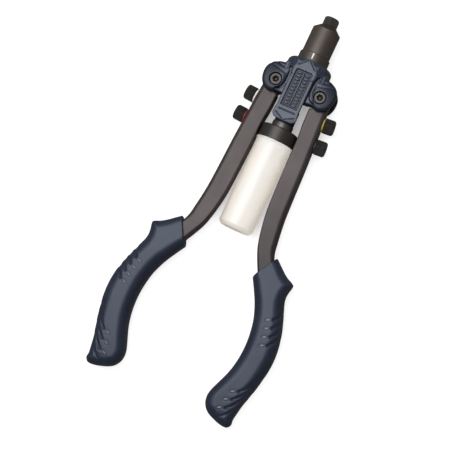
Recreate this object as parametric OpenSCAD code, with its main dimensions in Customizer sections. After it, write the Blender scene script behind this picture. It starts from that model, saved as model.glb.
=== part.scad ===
// Long-arm hand riveter: two lever arms turn on bolts in a cast head.
// Toothed arm heads drive a racked sleeve, so the nose slides on the
// pull tube that carries the jaws, and spent stems fall into a bottle.
// Frame: +Y points out of the nose, +X is right, +Z leaves the front face.
// The origin is on the tool axis, midway between the two arm pivots.

/* [Drive] */
// Distance from the tool axis to each arm pivot
pivot_x = 19.2; // [19.2:0.1:19.5]
// Pitch radius of the toothed arm heads
gear_r = 9; // [8.9:0.05:9]
// Angle between neighbouring teeth on an arm head
tooth_step = 24; // [22.5:0.5:24]
// Pressure angle of the teeth
tooth_angle = 25; // [23:1:26]
// Tooth height above the pitch line, in modules
tooth_high = 0.8; // [0.7:0.05:0.85]
// Largest opening of one arm, used for the room inside the head
arm_open = 50; // [40:1:52]

/* [Head casting] */
// Outer radius of the casting's barrel
barrel_r = 18.7; // [18.2:0.1:19.2]
// Half depth of the barrel between its front and back flats
flat_z = 16.2; // [15.8:0.1:17]
// Height of the casting's nose-side rim above the pivots
rim_y = 24.5; // [24:0.1:25]
// Half depth of the two ears, front to back
ear_z = 14; // [13.8:0.1:14.3]
// Half depth of the centre spine
spine_z = 15.6; // [15.2:0.1:16]
// Half width of the centre spine
spine_x = 9.7; // [9.4:0.1:10]
// Half width of the slot that takes an arm head
slot_z = 7.25; // [7.25:0.05:7.4]

/* [Pivots] */
// Radius of the pivot bolt's shank
bolt_r = 3; // [2.9:0.05:3.1]
// Radius of the pivot bolt's head
bolt_head_r = 4.7; // [4.6:0.05:4.8]
// Outer radius of the steel bush in each arm
bush_r = 4.5; // [4.3:0.1:4.7]

/* [Nose] */
// Outer radius of the nose housing
nose_r = 11.65; // [11.5:0.05:11.7]
// Outer radius of the lock ring
ring_r = 12.75; // [12.5:0.05:12.8]
// Length from the pivots to the nose-side edge of the lock ring
ring_y = 31.8; // [31.4:0.1:32.2]
// Length from the pivots to the foot of the nose cone
cone_y = 53.5; // [53.5:0.1:54]
// Width across the flats of every nosepiece
hex_af = 11.5; // [11.2:0.1:11.7]
// Length of a nosepiece's hexagon
hex_len = 7; // [6.6:0.1:7.2]
// Length of a stored spare's hexagon
spare_hex_len = 8.3; // [8:0.1:8.6]
// Hole for the rivet stem in the fitted nosepiece
stem_d = 3.2; // [2.8:0.1:3.6]

/* [Jaws] */
// Outer radius of the jaw case
case_r = 8.5; // [8.4:0.05:8.6]
// Number of coils in the jaw spring
coils = 9; // [7:1:10]
// Radius of the jaw spring's wire
wire_r = 0.45; // [0.35:0.05:0.5]

/* [Arms and grips] */
// Half thickness of an arm bar
arm_z = 6.9; // [6.6:0.1:6.9]
// Half thickness of the tang inside a grip
tang_z = 5.5; // [5:0.1:6]
// Half thickness of a grip at its fullest
grip_z = 11.6; // [11:0.1:12]
// Gap left round the tang inside a grip
tang_gap = 0.05; // [0.03:0.01:0.1]

/* [Spare nosepieces] */
// Stem holes of the spares: left front, left rear, right front, right rear (front is nearer the nose)
spare_d = [1.8, 2.3, 2.7, 3.9];
// Thickness of the coloured ring under a spare
o_ring_w = 1.3; // [1.1:0.1:1.5]

/* [Bottle] */
// Outer radius of the bottle under its collar
bottle_r = 14.9; // [14.5:0.1:15]
// Outer radius of the bottle at its foot
bottle_foot_r = 14.3; // [13.8:0.1:14.5]
// Length from the pivots to the foot of the bottle
bottle_y = -121.5; // [-126:0.5:-110]
// Wall thickness of the bottle
bottle_wall = 1.5; // [1.2:0.1:1.8]
// Outer radius of the bottle's collar
collar_r = 15.2; // [15:0.1:15.4]

/* [Hidden] */

$fn = 72;
run = 0.05;                       // running clearance on a radius
fit = 0.02;                       // gap between fixed parts

// Teeth
stroke = gear_r * arm_open * PI / 180;
rack_x = pivot_x - gear_r;        // pitch line of the rack
pitch = gear_r * tooth_step * PI / 180;
tooth_module = pitch / PI;
addendum = tooth_high * tooth_module;
dedendum = tooth_module + 0.1;
tooth_w = pitch / 2 - 0.08;       // width on the pitch line
base_r = gear_r * cos(tooth_angle);
root_r = gear_r - dedendum;

// Rack sleeve and its bores in the casting
sleeve_r = 8.7;
sleeve_low = -7;
sleeve_top = 27;
flange_y = 18;                    // underside of the sleeve's flange
floor_y = -16;                    // floor of the sleeve's bore
sink_y = flange_y - 0.35 - stroke; // floor of the nose-side counterbore
sink_r = 13;
tongue_end = -28.9;               // bottle end of the casting

// Pull tube
tube_r = 6;
tube_top = 31;
spring_seat = 14;                 // floor of the tube's spring bore

// Pivots
seat_z = 9.5;                     // seats of bolt heads and nuts, from mid plane
washer_sink = 0.7;                // depth of a washer's recess in the arm

// Nose
nose_low = 20.6;                  // lower edge of the lock ring
nose_bore = 9;
cone_top = 58.4;                  // foot of the fitted nosepiece's hexagon
wall_y = 52.3;                    // inside face of the nose housing's end wall
thread_r = 4;
thread_len = 7.4;

// ---- helpers ---------------------------------------------------------
module y_turn(profile, fn = 96) {
  // profile: [radius, y] pairs turned about the tool axis
  rotate([-90, 0, 0]) rotate_extrude($fn = fn) polygon(profile);
}
module y_rod(r, y0, y1, fn = 72) {
  translate([0, y0, 0]) rotate([-90, 0, 0]) cylinder(r = r, h = y1 - y0, $fn = fn);
}
module z_rod(r, z0, z1, fn = 72) {
  translate([0, 0, z0]) cylinder(r = r, h = z1 - z0, $fn = fn);
}
module slab(points, half) {
  translate([0, 0, -half]) linear_extrude(2 * half) polygon(points);
}
module both_sides() {
  for (left = [0, 1]) mirror([left, 0, 0]) children();
}
module at_pivot() {
  translate([pivot_x, 0, 0]) children();
}
function corner_r(flats) = flats / sqrt(3);   // hexagon's corner radius
function reversed(list) = [for (i = [len(list) - 1:-1:0]) list[i]];

// a half outline that starts and ends on x = 0, closed by its mirror image
function whole(half) =
  concat(half, [for (i = [len(half) - 2:-1:1]) [-half[i][0], half[i][1]]]);

// Catmull-Rom curve through a list of points, in n steps per span
function blend(a, b, c, d, t) = 0.5 * (2 * b + (c - a) * t
  + (2 * a - 5 * b + 4 * c - d) * t * t + (3 * b - a - 3 * c + d) * t * t * t);
function smooth(p, n) = let (m = len(p)) concat(
  [for (i = [0:m - 2]) for (j = [0:n - 1])
    blend(p[max(i - 1, 0)], p[i], p[i + 1], p[min(i + 2, m - 1)], j / n)],
  [p[m - 1]]);

// a band of varying width laid along stations [x, y, width]
function heading(path, i) = let (
  a = path[max(i - 1, 0)],
  b = path[min(i + 1, len(path) - 1)],
  d = [b[0] - a[0], b[1] - a[1]]) d / norm(d);
function band_edge(path, side, grow) = [for (i = [0:len(path) - 1])
  let (t = heading(path, i), w = path[i][2] / 2 + grow)
  [path[i][0] - side * t[1] * w, path[i][1] + side * t[0] * w]];
function band(path, grow = 0) =
  concat(band_edge(path, 1, grow), reversed(band_edge(path, -1, grow)));

// the same stations with the last one moved on by grow
function longer(path, grow) = let (m = len(path) - 1, t = heading(path, m), end = path[m])
  concat([for (i = [0:m - 1]) path[i]],
    [[end[0] + t[0] * grow, end[1] + t[1] * grow, end[2]]]);

// ---- teeth -----------------------------------------------------------
tooth_foot_r = root_r - 0.4;      // sunk into the arm head
flank = [for (i = [0:6]) base_r + (gear_r + addendum - base_r) * i / 6];

function involute(a) = tan(a) * 180 / PI - a;
function half_angle(r) = tooth_w / (2 * gear_r) * 180 / PI + involute(tooth_angle)
  - (r > base_r ? involute(acos(base_r / r)) : 0);
// outline of the tooth at angle a, as [radius, angle]
function tooth(a) = concat(
  [[tooth_foot_r, a - half_angle(base_r)]],
  [for (r = flank) [r, a - half_angle(r)]],
  [for (r = reversed(flank)) [r, a + half_angle(r)]],
  [[tooth_foot_r, a + half_angle(base_r)]]);
module gear_teeth() {
  for (k = [-1:3])
    polygon([for (q = tooth(k * tooth_step)) [q[0] * cos(q[1]), q[0] * sin(q[1])]]);
}
module rack_teeth() {
  // teeth on the right-hand pitch line, pointing to +X
  root = rack_x - dedendum;
  tip = rack_x + addendum;
  root_half = tooth_w / 2 + dedendum * tan(tooth_angle);
  tip_half = tooth_w / 2 - addendum * tan(tooth_angle);
  for (k = [-2:2]) let (y = (k + 0.5) * pitch)
    polygon([[root - 0.6, y - root_half], [root, y - root_half], [tip, y - tip_half],
      [tip, y + tip_half], [root, y + root_half], [root - 0.6, y + root_half]]);
}

// ---- head ------------------------------------------------------------
web_x = 17.2;
web_z = 13.2;
boss_r = 8.2;
groove = [1.8, 15.6, 4];          // size of a groove beside the spine
groove_x = 11.1;
groove_z = 12.2;
head_room_r = 10.9;               // room round an arm head

// outlines as [x, y]: the right ear, then right halves of parts on the axis
ear_outline = smooth([[10, -7.2], [13.6, -7.8], [17.4, -9.4], [21.5, -9.8], [25.6, -8.5],
  [29.2, -4.4], [31, 1], [31, 5.2], [29.3, 9.8], [25.8, 13.2], [21.5, 15], [17, 16.6],
  [10, 17.5]], 3);
front_spine = [[0, 20], [spine_x, 20], [spine_x, -8.2], [0, -8.2]];
rear_spine = [[0, 20], [spine_x, 20], [spine_x, -5.5], [0, -5.5]];
tongue = [[0, -8], [spine_x, -8], [spine_x, -17.5], [spine_x + 1.1, -24.6],
  [spine_x + 0.8, -26.2], [8, -28.2], [0, tongue_end]];
rib = [[0, -5], [5, -5], [4.9, -25], [4, -28.4], [0, -28.4]];

module casting_barrel() {
  // round, with flats front and back
  intersection() {
    y_turn([[0, 12], [barrel_r, 12], [barrel_r, rim_y - 4.2], [barrel_r - 0.5, rim_y - 2.3],
      [barrel_r - 1.8, rim_y - 0.8], [barrel_r - 3.9, rim_y], [0, rim_y]]);
    translate([-30, 0, -flat_z]) cube([60, 40, 2 * flat_z]);
  }
}
module casting_tongue() {
  // a front plate, a round boss for the pull tube, a rib behind
  hull() {
    translate([0, 0, spine_z - 1]) linear_extrude(1) polygon(whole(tongue));
    translate([0, 0, 5]) linear_extrude(2)
      polygon([for (q = whole(tongue)) [q[0] * 0.78, q[1]]]);
  }
  y_rod(boss_r, tongue_end, -8);
  mirror([0, 0, 1]) translate([0, 0, 4]) linear_extrude(spine_z - 4) polygon(whole(rib));
}
module casting_body() {
  casting_barrel();
  // web, reaching lower in front than behind
  translate([-web_x, -8.2, 0]) cube([2 * web_x, 26.7, web_z]);
  translate([-web_x, -5.5, -web_z]) cube([2 * web_x, 24, 26]);
  both_sides() slab(ear_outline, ear_z);
  linear_extrude(spine_z) polygon(whole(front_spine));
  translate([0, 0, -spine_z]) linear_extrude(spine_z + 5) polygon(whole(rear_spine));
  casting_tongue();
}
module casting_arm_room() {
  // right-hand room for the arm head, and the bolt's bores
  at_pivot() z_rod(head_room_r, -slot_z, slot_z, 96);
  translate([12.6, -40, -slot_z]) cube([40, 40, 2 * slot_z]);
  translate([pivot_x, -1, -slot_z]) cube([30, 1 + head_room_r, 2 * slot_z]);
  at_pivot() {
    z_rod(bolt_r + run, -20, 20);
    z_rod(bolt_head_r + 0.65, seat_z, 20);
    z_rod(6.4, -20, -seat_z);
  }
}
module head_casting() {
  color([0.33, 0.36, 0.43]) difference() {
    union() casting_body();
    // deep grooves between the spine and the ears
    for (s = [-1, 1], t = [-1, 1])
      translate([s * groove_x - groove[0] / 2, -2, t * groove_z - groove[2] / 2]) cube(groove);
    // nose-side counterbore, sleeve bore and pull-tube seat
    y_rod(sink_r, sink_y, rim_y + 1, 96);
    y_rod(sleeve_r + run, floor_y, sink_y + 1, 96);
    y_rod(tube_r + fit, -30, floor_y + 1, 96);
    // room for the rack
    translate([-11.9, floor_y, -slot_z]) cube([23.8, sink_y + 1 - floor_y, 2 * slot_z]);
    both_sides() casting_arm_room();
    // label recess in the front face
    translate([-7, -17.2, spine_z - 1.5]) cube([14, 31.6, 3]);
  }
}

// ---- pull tube and neck ----------------------------------------------
adapter_r = 8.7;
adapter_low = -38.4;
adapter_flange_y = -36.1;         // nose side of the adapter's flange
collar_end = -45.3;
collar_bore = 13.1;

module pull_tube() {
  color([0.62, 0.62, 0.62]) difference() {
    y_rod(tube_r, -38, tube_top);
    y_rod(3, -39, tube_top + 1);
    y_rod(4.6, spring_seat, tube_top + 1);
  }
}
module neck_adapter() {
  color([0.22, 0.2, 0.19]) difference() {
    union() {
      y_rod(adapter_r, adapter_low, tongue_end - fit);
      y_rod(12.6, adapter_low, adapter_flange_y);
    }
    y_rod(tube_r + fit, -40, -20);
  }
}
module bottle_collar() {
  inner_r = adapter_r + fit;
  shoulder_y = adapter_flange_y + run;
  color([0.2, 0.17, 0.16]) y_turn([[inner_r, -34.1], [collar_r - 0.7, -34.1],
    [collar_r, -34.9], [collar_r, collar_end], [collar_bore, collar_end],
    [collar_bore, shoulder_y], [inner_r, shoulder_y]]);
}

// ---- pivots ----------------------------------------------------------
bolt_socket_af = 5;
nut_af = 10;

module pivot_bolts() {
  color([0.66, 0.63, 0.58]) both_sides() at_pivot() {
    difference() {
      union() {
        z_rod(bolt_r, -13.6, 10);
        translate([0, 0, seat_z + fit]) rotate_extrude() polygon([[0, 0], [bolt_head_r, 0],
          [bolt_head_r, 3.3], [bolt_head_r - 0.5, 3.8], [0, 3.8]]);
      }
      translate([0, 0, 10.3]) cylinder(r = corner_r(bolt_socket_af), h = 5, $fn = 6);
    }
    // small boss on the floor of the hexagon socket
    translate([0, 0, 10.2]) cylinder(r1 = 1.5, r2 = 0.8, h = 1);
  }
}
module pivot_nuts() {
  color([0.6, 0.59, 0.56]) both_sides() at_pivot() difference() {
    union() {
      translate([0, 0, -13.2]) cylinder(r = corner_r(nut_af), h = 2.8, $fn = 6);
      z_rod(6.1, -10.4, -seat_z - fit);
    }
    z_rod(bolt_r + fit, -20, 0);
  }
}
module thrust_washers() {
  color([0.7, 0.6, 0.35]) both_sides() at_pivot()
    for (rear = [0, 1]) mirror([0, 0, rear]) difference() {
      z_rod(7, arm_z - washer_sink + fit, slot_z - fit);
      z_rod(bolt_r + fit, 0, 20);
    }
}

// ---- jaws ------------------------------------------------------------
jaw_angle = 9.82;                 // half angle of the jaw cone
case_low = 27.5;
case_top = 44;
cone_low = 33.2;
cone_low_r = 7;
jaw_low = 36;
jaw_top = 43;
jaw_gap = 0.12;                   // from the axis to a jaw's inner corner
bite_r = [1.2, 1.45];             // crest and root radii of a jaw's bite
pusher_y = 33.6;                  // underside of the pusher's head
spring_r = 3.75;                  // radius of the coil's centre line
spring_gap = 0.07;                // left at each end of the spring
function cone_r(y) = cone_low_r - (y - cone_low) * tan(jaw_angle);

module jaw_case() {
  color([0.55, 0.55, 0.56]) y_turn([[tube_r + fit, case_low], [case_r - 0.4, case_low],
    [case_r, case_low + 0.6], [case_r, case_top - 1], [case_r - 1, case_top],
    [cone_r(case_top), case_top], [cone_low_r, cone_low],
    [cone_low_r, tube_top + fit], [tube_r + fit, tube_top + fit]]);
}
module jaw_spring() {
  // round wire wound as a helix about the tool axis, built section by section
  y0 = spring_seat + wire_r + spring_gap;
  y1 = pusher_y - wire_r - spring_gap;
  steps = 12;                     // sections per coil
  sides = 8;                      // points round the wire
  last = coils * steps;
  rise = (y1 - y0) / last;
  lead = atan((y1 - y0) / (coils * 2 * PI * spring_r));
  function at(i, j) = let (
    a = i * 360 / steps,
    b = j * 360 / sides,
    r = spring_r + wire_r * cos(b),
    v = wire_r * sin(b))
    [r * cos(a) + v * sin(lead) * sin(a),
      y0 + rise * i + v * cos(lead),
      -r * sin(a) + v * sin(lead) * cos(a)];
  function index(i, j) = i * sides + j % sides;
  color([0.7, 0.7, 0.72]) polyhedron(
    [for (i = [0:last], j = [0:sides - 1]) at(i, j)],
    concat([for (i = [0:last - 1], j = [0:sides - 1]) each
        [[index(i, j), index(i + 1, j), index(i + 1, j + 1)],
          [index(i, j), index(i + 1, j + 1), index(i, j + 1)]]],
      [[for (j = [0:sides - 1]) j]],
      [[for (j = [sides - 1:-1:0]) index(last, j)]]));
}
module jaw_pusher() {
  color([0.72, 0.72, 0.7]) difference() {
    union() {
      y_turn([[0, pusher_y], [6.2, pusher_y], [6.2, 35.2], [5.4, 35.95], [0, 35.95]]);
      y_rod(2.9, 25, 34);
    }
    y_rod(2.1, 20, 40);
  }
}
module jaw(turn) {
  // one third of a cone with a toothed bite round the stem hole
  wedge_x = jaw_gap + 12 * cos(60);
  wedge_z = 12 * sin(60);
  color([0.5, 0.5, 0.5]) rotate([0, turn, 0]) intersection() {
    difference() {
      y_turn([[0, jaw_low], [cone_r(jaw_low) - run, jaw_low],
        [cone_r(jaw_top) - run, jaw_top], [0, jaw_top]]);
      y_turn([[0, jaw_low - 1], [2.6, jaw_low - 1], [bite_r[0], jaw_low + 1.6],
        for (i = [0:4]) each [[bite_r[1], jaw_low + 2 + i], [bite_r[0], jaw_low + 2.5 + i]],
        [1.9, jaw_top + 1], [0, jaw_top + 1]]);
    }
    rotate([90, 0, 0]) translate([0, 0, -50]) linear_extrude(20)
      polygon([[jaw_gap, 0], [wedge_x, wedge_z], [20, 10], [20, -10], [wedge_x, -wedge_z]]);
  }
}
module jaw_upper() { jaw(-90); }
module jaw_left() { jaw(150); }
module jaw_right() { jaw(30); }

// ---- nose ------------------------------------------------------------
module nose_housing() {
  low = nose_low + fit;
  top = cone_top - 0.03;
  step_y = sleeve_top + run;
  color([0.34, 0.29, 0.27]) y_turn([[nose_bore + fit, low], [nose_r, low], [nose_r, cone_y],
    [6.1, top], [thread_r + fit, top], [thread_r + fit, wall_y], [nose_bore, wall_y],
    [nose_bore, step_y], [nose_bore + fit, step_y]]);
}
module lock_ring() {
  color([0.28, 0.25, 0.19]) y_turn([[nose_r + fit, nose_low], [ring_r, nose_low],
    [ring_r, ring_y - 0.5], [ring_r - 0.5, ring_y], [nose_r + fit, ring_y]]);
}
module rack_sleeve() {
  rack_z = 6.2;
  color([0.5, 0.5, 0.5]) difference() {
    union() {
      y_rod(sleeve_r, sleeve_low, 20, 96);
      y_rod(sink_r - run, flange_y, nose_low - 0.04, 96);
      y_rod(nose_bore - fit, 20, sleeve_top, 96);
      both_sides() {
        translate([0, 0, -rack_z]) linear_extrude(2 * rack_z) intersection() {
          rack_teeth();
          translate([0, sleeve_low]) square([20, 30]);
        }
        translate([0, sleeve_low, -rack_z]) cube([rack_x - dedendum, 20, 2 * rack_z]);
      }
    }
    y_rod(tube_r + run, -20, 40, 96);
  }
}
module hex_piece(hole_d, length) {
  // a nosepiece standing on z = 0, thread below, hexagon above
  half_af = hex_af / 2;
  difference() {
    union() {
      intersection() {
        cylinder(r = corner_r(hex_af), h = length, $fn = 6);
        rotate_extrude() polygon([[0, 0], [half_af + 0.35, 0], [half_af + 0.9, 0.6],
          [half_af + 0.9, length - 1.4], [half_af - 0.6, length], [0, length]]);
      }
      translate([0, 0, -thread_len]) cylinder(r = thread_r, h = thread_len + 0.6);
    }
    translate([0, 0, -10]) cylinder(d = hole_d, h = 30, $fn = 48);
    translate([0, 0, -8]) cylinder(r1 = 2.9, r2 = hole_d / 2, h = 2.4, $fn = 48);
  }
}
module nosepiece() {
  color([0.16, 0.15, 0.15]) translate([0, cone_top, 0]) rotate([-90, 0, 0]) rotate(30)
    hex_piece(stem_d, hex_len);
}

// ---- arms ------------------------------------------------------------
hub_r = 9.4;                      // plain outer side of an arm head
// stations of the right-hand arm: x, y, width
bar = smooth([[21.3, -9, 14.6], [21.6, -14, 15], [22.15, -24, 15.2], [22.85, -33, 14.8],
  [23.5, -48, 15.4], [23.9, -58, 15.7], [25.1, -88, 15.8], [26.3, -103, 15.5],
  [28.7, -118, 14.7], [31.4, -129, 13.4], [37.9, -143.5, 12.2]], 3);
tang = smooth([[34.1, -136, 12], [37.9, -143.5, 12], [43.3, -152.5, 12], [49.2, -163, 12],
  [54.3, -174, 12], [57.8, -186, 12], [59.5, -200, 12], [59, -214, 12],
  [56.9, -226, 11.4], [53.9, -237, 10.6], [51.8, -246, 9.6]], 3);
// front and rear spare on the right arm: x, y, outward tilt of the arm's face
spare_places = [[29.0, -16.8, 4.3], [30.0, -35.1, 3.5]];

module spare_at(i) {
  // z = 0 lies on the arm's outer face
  place = spare_places[i];
  translate([place[0], place[1], 0]) rotate([0, 0, place[2]]) rotate([0, 90, 0]) children();
}
module arm_head() {
  // the teeth face the tool axis
  at_pivot() mirror([1, 0, 0]) translate([0, 0, -arm_z]) linear_extrude(2 * arm_z) {
    circle(root_r, $fn = 72);
    intersection() {
      circle(hub_r, $fn = 72);
      translate([-20, -12]) square([19, 24]);
    }
    translate([-hub_r, -14]) square([13.9, 12]);
    gear_teeth();
  }
}
module arm() {
  difference() {
    union() {
      slab(band(bar), arm_z);
      slab(band(tang), tang_z);
      arm_head();
    }
    // bush bore and washer recesses
    at_pivot() {
      z_rod(bush_r + 0.01, -20, 20);
      z_rod(7.2, arm_z - washer_sink, 20);
      z_rod(7.2, -20, washer_sink - arm_z);
    }
    // threaded holes and seats for the spares
    for (i = [0, 1]) spare_at(i) {
      translate([0, 0, -8.6]) cylinder(r = thread_r + fit, h = 20);
      translate([0, 0, -fit]) cylinder(r = 6.9, h = 6);
    }
  }
}
module pivot_bush() {
  color([0.72, 0.6, 0.36]) at_pivot() difference() {
    z_rod(bush_r, washer_sink - arm_z, arm_z - washer_sink);
    z_rod(bolt_r + run, -20, 20);
  }
}
module left_arm() { mirror([1, 0, 0]) right_arm(); }
module right_arm() { color([0.43, 0.4, 0.39]) arm(); }
module left_pivot_bush() { mirror([1, 0, 0]) pivot_bush(); }
module right_pivot_bush() { pivot_bush(); }

// ---- grips -----------------------------------------------------------
// right-hand grip as [x, y]: outer edge and end, then inner edge
grip_outer = smooth([[41.7, -128.6], [47.4, -133.3], [52, -137], [56.2, -139.7],
  [60.2, -141.5], [61.8, -143.6], [60.6, -149.8], [60.4, -154.2], [61.4, -158.8],
  [63.5, -164.1], [65.6, -169.2], [67.6, -174.8], [69.4, -180.2], [70.8, -186.2],
  [71.8, -192.3], [72.5, -198.8], [72.6, -206], [72.1, -212.5], [71.2, -218.8],
  [69.6, -227.3], [68.1, -233.4], [66.4, -239.8], [64.7, -246.5], [63.4, -253.3],
  [62.8, -258], [63.2, -262], [61.2, -265.1], [58, -265.7], [53.1, -264.9],
  [48.5, -263.4], [44.2, -261.6], [40.8, -259.2], [38.4, -256], [36.9, -252.1],
  [36.5, -248]], 2);
grip_inner = smooth([[37.6, -242.6], [41.3, -232.9], [43.5, -227], [44.9, -222.2],
  [46.1, -216.3], [46.9, -210], [47.2, -204.1], [47.1, -198.2], [46.6, -192.3],
  [45.7, -186.6], [44.5, -180.9], [42.7, -175.5], [40.7, -170.5], [38.3, -165.4],
  [35.6, -160.5], [32.7, -155.4], [29.7, -150.4]], 2);
// side view as [y, half thickness], fullest at grip_side_max
grip_side_max = 11.6;
grip_side = smooth([[-126, 8.8], [-136, 9.4], [-148, 10.4], [-165, 11.2], [-185, 11.6],
  [-205, 11.6], [-225, 11.4], [-242, 11.1], [-254, 10.4], [-261, 8.8], [-266.5, 5.2]], 2);

module grip() {
  side = [for (q = grip_side) [q[0], q[1] * grip_z / grip_side_max]];
  difference() {
    intersection() {
      slab(concat(grip_outer, grip_inner, [[31.2, -147.2]]), grip_z + 1);
      rotate([90, 0, 90]) linear_extrude(120)
        polygon(concat(side, [for (q = reversed(side)) [q[0], -q[1]]]));
    }
    slab(band(longer(bar, tang_gap), tang_gap), arm_z + tang_gap);
    slab(band(longer(tang, tang_gap), tang_gap), tang_z + tang_gap);
  }
}
module left_grip() { mirror([1, 0, 0]) right_grip(); }
module right_grip() { color([0.34, 0.37, 0.44]) grip(); }

// ---- spares ----------------------------------------------------------
module spare(i, hole_d) {
  color([0.15, 0.14, 0.14]) spare_at(i) translate([0, 0, o_ring_w + fit])
    hex_piece(hole_d, spare_hex_len);
}
module o_ring(i) {
  spare_at(i) translate([0, 0, 0.01]) rotate_extrude() polygon([[thread_r + fit, 0],
    [5.6, 0], [5.9, 0.3], [5.9, o_ring_w - 0.3], [5.6, o_ring_w], [thread_r + fit, o_ring_w]]);
}
module spare_left_front() { mirror([1, 0, 0]) spare(0, spare_d[0]); }
module spare_left_rear() { mirror([1, 0, 0]) spare(1, spare_d[1]); }
module spare_right_front() { spare(0, spare_d[2]); }
module spare_right_rear() { spare(1, spare_d[3]); }
module o_ring_left_front() { color([0.85, 0.84, 0.8]) mirror([1, 0, 0]) o_ring(0); }
module o_ring_left_rear() { color([0.75, 0.12, 0.1]) mirror([1, 0, 0]) o_ring(1); }
module o_ring_right_front() { color([0.85, 0.7, 0.1]) o_ring(0); }
module o_ring_right_rear() { color([0.1, 0.12, 0.25]) o_ring(1); }

// ---- bottle ----------------------------------------------------------
module bottle() {
  wall = bottle_wall;
  neck_r = 12.9;
  neck_y = -39;
  rim_r = collar_r + 0.1;
  shoulder_y = collar_end - 0.04;
  color([0.93, 0.9, 0.84]) y_turn([[neck_r, neck_y], [neck_r, shoulder_y],
    [rim_r, shoulder_y], [rim_r, -46.9], [bottle_r, -47.3], [bottle_foot_r, bottle_y + 2.6],
    [bottle_foot_r - 2.6, bottle_y], [0, bottle_y], [0, bottle_y + wall],
    [bottle_foot_r - 2.6 - wall * 0.4, bottle_y + wall],
    [bottle_foot_r - wall, bottle_y + 2.6 + wall * 0.4],
    [bottle_r - wall, -48.6], [neck_r - wall, -46.4], [neck_r - wall, neck_y]]);
}

head_casting();
pull_tube();
neck_adapter();
bottle_collar();
pivot_bolts();
pivot_nuts();
thrust_washers();
jaw_case();
jaw_spring();
jaw_pusher();
jaw_upper();
jaw_left();
jaw_right();
nose_housing();
lock_ring();
rack_sleeve();
nosepiece();
left_arm();
left_pivot_bush();
left_grip();
right_arm();
right_pivot_bush();
right_grip();
spare_left_front();
spare_left_rear();
spare_right_front();
spare_right_rear();
o_ring_left_front();
o_ring_left_rear();
o_ring_right_front();
o_ring_right_rear();
bottle();
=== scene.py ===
"""Hand riveter with two long arms: looks, floor, light and camera.

The barrel axis is Y, with the nose towards +Y and the grips towards -Y. The labelled
front faces +Z and the right arm is at +X. Each arm turns about a pivot parallel to Z.
Pieces are shaped in millimetres; shaders, floor, light and camera are in metres.
"""
import math
import bpy
import numpy as np
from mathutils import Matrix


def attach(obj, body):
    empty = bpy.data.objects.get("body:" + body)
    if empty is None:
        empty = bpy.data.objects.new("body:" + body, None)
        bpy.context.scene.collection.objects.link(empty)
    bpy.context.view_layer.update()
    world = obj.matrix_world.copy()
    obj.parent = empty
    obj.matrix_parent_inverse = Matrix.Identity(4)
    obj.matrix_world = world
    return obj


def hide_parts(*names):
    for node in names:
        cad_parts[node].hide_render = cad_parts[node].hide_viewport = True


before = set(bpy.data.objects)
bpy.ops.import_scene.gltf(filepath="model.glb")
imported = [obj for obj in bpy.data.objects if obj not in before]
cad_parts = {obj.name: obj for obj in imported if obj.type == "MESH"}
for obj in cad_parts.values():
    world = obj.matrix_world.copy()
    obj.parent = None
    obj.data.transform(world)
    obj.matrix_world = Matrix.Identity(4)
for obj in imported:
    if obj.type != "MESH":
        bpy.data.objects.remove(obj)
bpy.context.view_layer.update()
import openvdb as vdb
from mathutils import Matrix, Vector

F = np.float32
MM = 0.001                  # metres in a millimetre

# Sizes shared by several pieces (mm)
PIVOT_X = 19.2              # distance of each arm pivot from the middle
FACE_Z = 15.6               # front and back faces of the spine and the tongue
SPINE_X = 9.7               # half width of the spine
LABEL_TOP_Y = 14.4          # top edge of the label recess
LABEL_TOP_Z = 14.1          # its floor there
LABEL_RISE = 0.020          # rise of that floor per mm towards the foot
BAR_HALF, BAR_RIM = 6.9, 1.3        # half thickness of an arm bar, rounding of its inner edges
TANG_HALF, TANG_RIM = 5.5, 1.5      # the same for the tang inside the grip

# Flutes of the right grip: start x, y, then sideways run and rise towards -Y.
# Each starts at a raised bead, except the last, which is shallow and has none.
FLUTES = [
    (56.1, -176.1, 8.6, 9.6), (57.8, -182.7, 9.0, 10.4), (59.2, -189.4, 9.4, 11.0),
    (60.1, -196.2, 9.6, 11.2), (54.5, -237.7, 12.0, 12.6), (52.2, -245.3, 12.6, 13.0),
    (50.3, -253.2, 12.8, 13.2), (49.6, -260.2, 12.0, 12.0)]
BEADS = FLUTES[:-1]
BEAD_COS, BEAD_SIN = math.cos(0.5), math.sin(0.5)      # the beads lean by 0.5 radians


# ---------------------------------------------------------------- distance fields (mm)
# A field is negative inside the shape. Fields of flat shapes have one sample along z.
class Grid:
    """Sample points that fill a box."""

    def __init__(self, low, high, step):
        self.low = np.array(low, float)
        self.step = step
        self.count = [int(math.ceil((b - a) / step)) + 1 for a, b in zip(low, high)]
        axes = [(low[i] + step * np.arange(self.count[i])).astype(F) for i in range(3)]
        self.x = axes[0][:, None, None]
        self.y = axes[1][None, :, None]
        self.z = axes[2][None, None, :]
        self.abs_x, self.abs_z = np.abs(self.x), np.abs(self.z)

    def plan(self, mirrored):
        return np.broadcast_arrays(self.abs_x if mirrored else self.x, self.y)


def smooth_min(a, b, blend):
    t = np.clip(0.5 + 0.5 * (b - a) / blend, 0, 1)
    return b + (a - b) * t - blend * t * (1 - t)


def smooth_max(a, b, blend):
    return -smooth_min(-a, -b, blend)


def segment(x, y, start, end, length2):
    """Squared distance to a segment, and the nearest point's place on it (0 to 1)."""
    ex, ey = end - start
    wx, wy = x - F(start[0]), y - F(start[1])
    t = np.clip((wx * F(ex) + wy * F(ey)) / F(length2), 0, 1)
    return (wx - t * F(ex)) ** 2 + (wy - t * F(ey)) ** 2, t


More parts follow.
